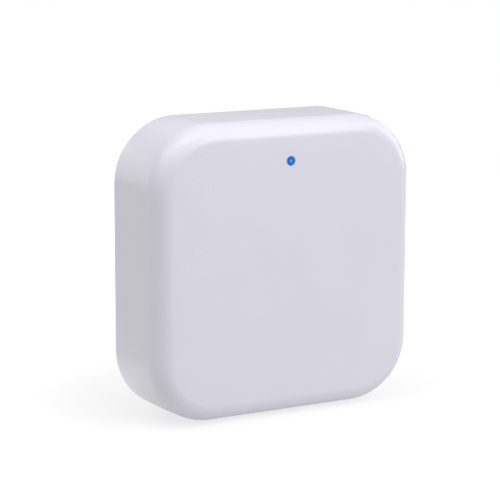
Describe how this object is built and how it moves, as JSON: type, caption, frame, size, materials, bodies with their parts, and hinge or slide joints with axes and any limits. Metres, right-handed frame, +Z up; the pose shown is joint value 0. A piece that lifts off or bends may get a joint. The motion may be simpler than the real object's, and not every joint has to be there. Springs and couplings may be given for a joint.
{
  "type": "smart home hub",
  "caption": "White rounded-square wireless home hub that stands upright, with a soft rounded front, a small blue status light and a side power inlet.",
  "frame": {"origin": "centre of the object's box in plan, on the surface it stands on", "axes": "+Z up, the front with the status light faces -Y, the power inlet faces +X"},
  "size_m": [0.07, 0.0228, 0.07],
  "materials": {
    "shell_plastic": "satin moulded, very fine texture",
    "cover_plastic": "fine spark-eroded texture",
    "screw_steel": "zinc plated",
    "foot_rubber": "matte",
    "label_film": "matte film, blank",
    "light_pipe_resin": "clear resin lit blue from behind",
    "gasket_foam": "open foam",
    "board_laminate": "solder mask over copper",
    "module_laminate": "dark solder mask",
    "shield_steel": "tin plated sheet",
    "chip_resin": "moulded epoxy",
    "light_resin": "clear resin",
    "capacitor_aluminium": "drawn can",
    "fuse_laminate": "coated laminate",
    "ferrite": "pressed ferrite",
    "switch_plastic": "glass-filled resin"
  },
  "bodies": {
    "case": {"front_shell": "shell_plastic", "rear_cover": "cover_plastic", "case_screw_1": "screw_steel", "case_screw_2": "screw_steel", "case_screw_3": "screw_steel", "case_screw_4": "screw_steel", "rear_foot_1": "foot_rubber", "rear_foot_2": "foot_rubber", "rear_foot_3": "foot_rubber", "rear_foot_4": "foot_rubber", "rating_label": "label_film", "light_pipe": "light_pipe_resin", "light_gasket": "gasket_foam", "main_board": "board_laminate", "board_screw_1": "screw_steel", "board_screw_2": "screw_steel", "board_screw_3": "screw_steel", "wifi_module_board": "module_laminate", "wifi_shield": "shield_steel", "radio_module_board": "module_laminate", "radio_shield": "shield_steel", "radio_antenna": "shield_steel", "processor": "chip_resin", "flash_chip": "chip_resin", "crystal": "shield_steel", "status_light": "light_resin", "bulk_capacitor": "capacitor_aluminium", "fuse": "fuse_laminate", "voltage_regulator": "chip_resin", "power_inductor": "ferrite", "inlet_shell": "shield_steel", "inlet_tongue": "switch_plastic", "switch_body": "switch_plastic"},
    "reset_button": {"reset_button": "cover_plastic"},
    "switch_plunger": {"switch_plunger": "switch_plastic"}
  },
  "joints": [
    {"name": "reset_press", "type": "slide", "parent": "case", "child": "reset_button", "axis": [0, -1, 0], "range_m": [0, 0.00025], "stiffness_N_per_m": 3000, "springref_m": -0.0003},
    {"name": "plunger_press", "type": "slide", "parent": "case", "child": "switch_plunger", "axis": [0, -1, 0], "range_m": [0, 0.00025]}
  ],
  "couplings": [
    {"joint": "plunger_press", "follows": "reset_press", "ratio": 1}
  ]
}
